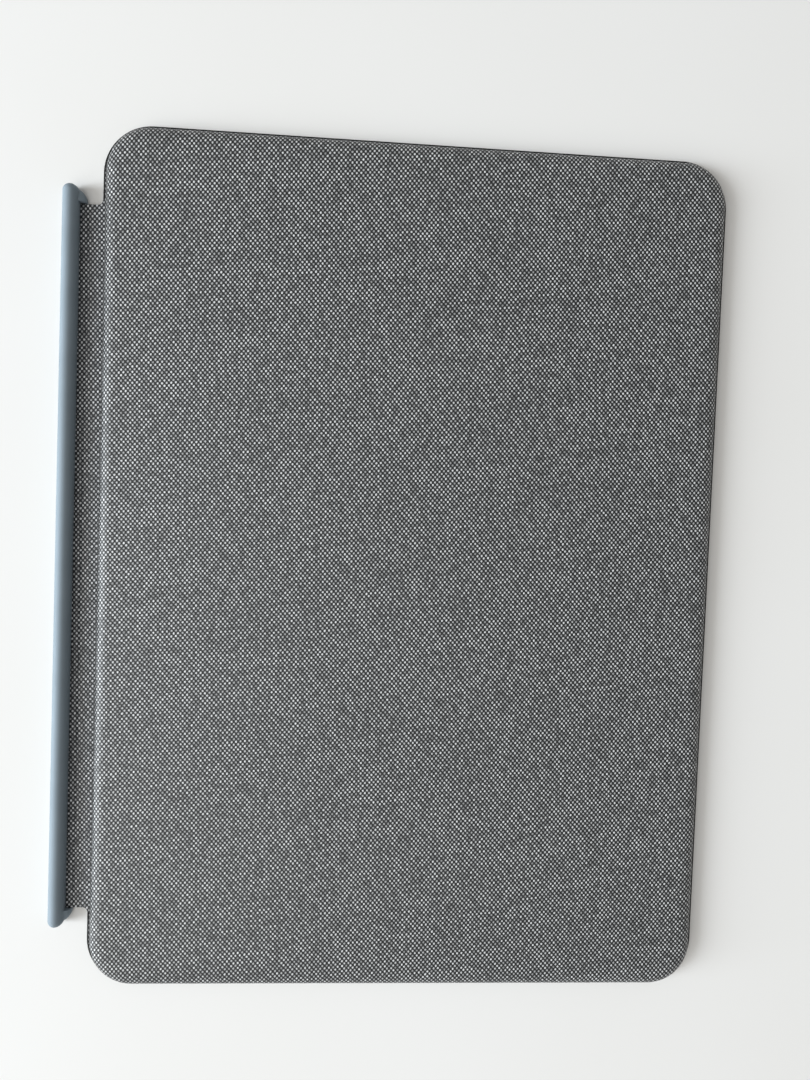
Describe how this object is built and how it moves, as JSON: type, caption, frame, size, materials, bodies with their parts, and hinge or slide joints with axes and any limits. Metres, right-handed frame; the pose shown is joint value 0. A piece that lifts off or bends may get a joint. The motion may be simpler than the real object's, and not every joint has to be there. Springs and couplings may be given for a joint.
{
  "type": "tablet keyboard cover",
  "caption": "Woven-fabric tablet keyboard cover with a trackpad, joined by a folding fabric neck to a magnetic spine with contact pins that clips to the tablet's edge.",
  "frame": {"origin": "middle of the whole cover's footprint, on the surface it lies on with its keys facing down", "axes": "+X from the spine to the front edge, +Y along the keyboard from the right-hand keys to the left-hand keys, +Z out of the woven back"},
  "size_m": [0.1948, 0.252, 0.0059],
  "materials": {
    "back_woven": "plain weave of light grey and near-black threads, polyurethane coated",
    "deck_woven": "plain weave of light grey and near-black threads, polyurethane coated",
    "neck_woven": "plain weave of light grey and near-black threads, polyurethane coated",
    "neck_lining": "smooth coated lining",
    "spine_polymer": "soft matte elastomer",
    "key_plastic": "fine matte texture",
    "well_plastic": "matte",
    "frame_plastic": "matte",
    "trackpad_surface": "etched satin, painted behind",
    "sheet_metal": "rolled sheet",
    "aluminium_sheet": "mill finish sheet",
    "spring_steel": "rolled strip",
    "magnet_nickel": "nickel plated",
    "circuit_board": "solder mask",
    "chip_epoxy": "moulded epoxy",
    "cable_film": "polyimide film",
    "clear_film": "clear film",
    "silicone": "soft matte",
    "contact_gold": "gold plated"
  },
  "bodies": {
    "panel": {"back_fabric": "back_woven", "back_plate": "aluminium_sheet", "deck_fabric": "deck_woven", "deck_frame": "frame_plastic", "key_web": "well_plastic", "dome_sheet": "silicone", "membrane_sheet": "clear_film", "support_plate": "sheet_metal", "light_guide": "clear_film", "trackpad_switch": "chip_epoxy", "trackpad_bracket": "spring_steel", "controller_board": "circuit_board", "controller_chip": "chip_epoxy", "panel_cable": "cable_film", "closure_magnet_left": "magnet_nickel", "closure_magnet_right": "magnet_nickel", "wake_magnet": "magnet_nickel"},
    "neck": {"neck_fabric": "neck_woven", "neck_liner": "neck_lining", "neck_cable": "cable_film"},
    "spine": {"spine_shell": "spine_polymer", "spine_face": "spine_polymer", "spine_bar": "spring_steel", "spine_fabric_tab": "neck_woven", "contact_block": "chip_epoxy", "contact_cable": "cable_film", "spine_magnet_1": "magnet_nickel", "spine_magnet_2": "magnet_nickel", "spine_magnet_3": "magnet_nickel", "spine_magnet_4": "magnet_nickel"},
    "trackpad": {"trackpad_surface": "trackpad_surface", "trackpad_board": "circuit_board"},
    "pin_1": {"contact_pin_1": "contact_gold"},
    "pin_2": {"contact_pin_2": "contact_gold"},
    "pin_3": {"contact_pin_3": "contact_gold"},
    "function_row": {"row_function": "key_plastic"},
    "number_row": {"row_numbers": "key_plastic"},
    "upper_row": {"row_upper_letters": "key_plastic"},
    "home_row": {"row_home_letters": "key_plastic"},
    "lower_row": {"row_lower_letters": "key_plastic"},
    "grave": {"key_grave": "key_plastic"},
    "delete": {"key_delete": "key_plastic"},
    "tab": {"key_tab": "key_plastic"},
    "backslash": {"key_backslash": "key_plastic"},
    "caps_lock": {"key_caps_lock": "key_plastic"},
    "return": {"key_return": "key_plastic"},
    "shift_left": {"key_shift_left": "key_plastic"},
    "shift_right": {"key_shift_right": "key_plastic"},
    "globe": {"key_globe": "key_plastic"},
    "control": {"key_control": "key_plastic"},
    "option_left": {"key_option_left": "key_plastic"},
    "command_left": {"key_command_left": "key_plastic"},
    "space": {"key_space": "key_plastic"},
    "command_right": {"key_command_right": "key_plastic"},
    "option_right": {"key_option_right": "key_plastic"},
    "arrow_left": {"key_arrow_left": "key_plastic"},
    "arrow_up": {"key_arrow_up": "key_plastic"},
    "arrow_down": {"key_arrow_down": "key_plastic"},
    "arrow_right": {"key_arrow_right": "key_plastic"}
  },
  "joints": [
    {"name": "fold_panel", "type": "hinge", "parent": "panel", "child": "neck", "pos_m": [-0.08665, 0, 0.00055], "axis": [0, 1, 0], "range_deg": [-90, 40]},
    {"name": "fold_spine", "type": "hinge", "parent": "neck", "child": "spine", "pos_m": [-0.09045, 0, 0.00055], "axis": [0, 1, 0], "range_deg": [-60, 35]},
    {"name": "trackpad_click", "type": "slide", "parent": "panel", "child": "trackpad", "axis": [0, 0, 1], "range_m": [0, 0.0003], "stiffness_N_per_m": 2500, "springref_m": -0.0002},
    {"name": "pin_1_press", "type": "slide", "parent": "spine", "child": "pin_1", "axis": [0, 0, 1], "range_m": [0, 0.0004], "stiffness_N_per_m": 800, "springref_m": -0.0003},
    {"name": "pin_2_press", "type": "slide", "parent": "spine", "child": "pin_2", "axis": [0, 0, 1], "range_m": [0, 0.0004], "stiffness_N_per_m": 800, "springref_m": -0.0003},
    {"name": "pin_3_press", "type": "slide", "parent": "spine", "child": "pin_3", "axis": [0, 0, 1], "range_m": [0, 0.0004], "stiffness_N_per_m": 800, "springref_m": -0.0003},
    {"name": "row_function_press", "type": "slide", "parent": "panel", "child": "function_row", "axis": [0, 0, 1], "range_m": [0, 0.001], "stiffness_N_per_m": 400, "springref_m": -0.0005, "deforming": ["dome_sheet"]},
    {"name": "row_numbers_press", "type": "slide", "parent": "panel", "child": "number_row", "axis": [0, 0, 1], "range_m": [0, 0.001], "stiffness_N_per_m": 400, "springref_m": -0.0005, "deforming": ["dome_sheet"]},
    {"name": "row_upper_letters_press", "type": "slide", "parent": "panel", "child": "upper_row", "axis": [0, 0, 1], "range_m": [0, 0.001], "stiffness_N_per_m": 400, "springref_m": -0.0005, "deforming": ["dome_sheet"]},
    {"name": "row_home_letters_press", "type": "slide", "parent": "panel", "child": "home_row", "axis": [0, 0, 1], "range_m": [0, 0.001], "stiffness_N_per_m": 400, "springref_m": -0.0005, "deforming": ["dome_sheet"]},
    {"name": "row_lower_letters_press", "type": "slide", "parent": "panel", "child": "lower_row", "axis": [0, 0, 1], "range_m": [0, 0.001], "stiffness_N_per_m": 400, "springref_m": -0.0005, "deforming": ["dome_sheet"]},
    {"name": "key_grave_press", "type": "slide", "parent": "panel", "child": "grave", "axis": [0, 0, 1], "range_m": [0, 0.001], "stiffness_N_per_m": 400, "springref_m": -0.0005, "deforming": ["dome_sheet"]},
    {"name": "key_delete_press", "type": "slide", "parent": "panel", "child": "delete", "axis": [0, 0, 1], "range_m": [0, 0.001], "stiffness_N_per_m": 400, "springref_m": -0.0005, "deforming": ["dome_sheet"]},
    {"name": "key_tab_press", "type": "slide", "parent": "panel", "child": "tab", "axis": [0, 0, 1], "range_m": [0, 0.001], "stiffness_N_per_m": 400, "springref_m": -0.0005, "deforming": ["dome_sheet"]},
    {"name": "key_backslash_press", "type": "slide", "parent": "panel", "child": "backslash", "axis": [0, 0, 1], "range_m": [0, 0.001], "stiffness_N_per_m": 400, "springref_m": -0.0005, "deforming": ["dome_sheet"]},
    {"name": "key_caps_lock_press", "type": "slide", "parent": "panel", "child": "caps_lock", "axis": [0, 0, 1], "range_m": [0, 0.001], "stiffness_N_per_m": 400, "springref_m": -0.0005, "deforming": ["dome_sheet"]},
    {"name": "key_return_press", "type": "slide", "parent": "panel", "child": "return", "axis": [0, 0, 1], "range_m": [0, 0.001], "stiffness_N_per_m": 400, "springref_m": -0.0005, "deforming": ["dome_sheet"]},
    {"name": "key_shift_left_press", "type": "slide", "parent": "panel", "child": "shift_left", "axis": [0, 0, 1], "range_m": [0, 0.001], "stiffness_N_per_m": 400, "springref_m": -0.0005, "deforming": ["dome_sheet"]},
    {"name": "key_shift_right_press", "type": "slide", "parent": "panel", "child": "shift_right", "axis": [0, 0, 1], "range_m": [0, 0.001], "stiffness_N_per_m": 400, "springref_m": -0.0005, "deforming": ["dome_sheet"]},
    {"name": "key_globe_press", "type": "slide", "parent": "panel", "child": "globe", "axis": [0, 0, 1], "range_m": [0, 0.001], "stiffness_N_per_m": 400, "springref_m": -0.0005, "deforming": ["dome_sheet"]},
    {"name": "key_control_press", "type": "slide", "parent": "panel", "child": "control", "axis": [0, 0, 1], "range_m": [0, 0.001], "stiffness_N_per_m": 400, "springref_m": -0.0005, "deforming": ["dome_sheet"]},
    {"name": "key_option_left_press", "type": "slide", "parent": "panel", "child": "option_left", "axis": [0, 0, 1], "range_m": [0, 0.001], "stiffness_N_per_m": 400, "springref_m": -0.0005, "deforming": ["dome_sheet"]},
    {"name": "key_command_left_press", "type": "slide", "parent": "panel", "child": "command_left", "axis": [0, 0, 1], "range_m": [0, 0.001], "stiffness_N_per_m": 400, "springref_m": -0.0005, "deforming": ["dome_sheet"]},
    {"name": "key_space_press", "type": "slide", "parent": "panel", "child": "space", "axis": [0, 0, 1], "range_m": [0, 0.001], "stiffness_N_per_m": 400, "springref_m": -0.0005, "deforming": ["dome_sheet"]},
    {"name": "key_command_right_press", "type": "slide", "parent": "panel", "child": "command_right", "axis": [0, 0, 1], "range_m": [0, 0.001], "stiffness_N_per_m": 400, "springref_m": -0.0005, "deforming": ["dome_sheet"]},
    {"name": "key_option_right_press", "type": "slide", "parent": "panel", "child": "option_right", "axis": [0, 0, 1], "range_m": [0, 0.001], "stiffness_N_per_m": 400, "springref_m": -0.0005, "deforming": ["dome_sheet"]},
    {"name": "key_arrow_left_press", "type": "slide", "parent": "panel", "child": "arrow_left", "axis": [0, 0, 1], "range_m": [0, 0.001], "stiffness_N_per_m": 400, "springref_m": -0.0005, "deforming": ["dome_sheet"]},
    {"name": "key_arrow_up_press", "type": "slide", "parent": "panel", "child": "arrow_up", "axis": [0, 0, 1], "range_m": [0, 0.001], "stiffness_N_per_m": 400, "springref_m": -0.0005, "deforming": ["dome_sheet"]},
    {"name": "key_arrow_down_press", "type": "slide", "parent": "panel", "child": "arrow_down", "axis": [0, 0, 1], "range_m": [0, 0.001], "stiffness_N_per_m": 400, "springref_m": -0.0005, "deforming": ["dome_sheet"]},
    {"name": "key_arrow_right_press", "type": "slide", "parent": "panel", "child": "arrow_right", "axis": [0, 0, 1], "range_m": [0, 0.001], "stiffness_N_per_m": 400, "springref_m": -0.0005, "deforming": ["dome_sheet"]}
  ]
}
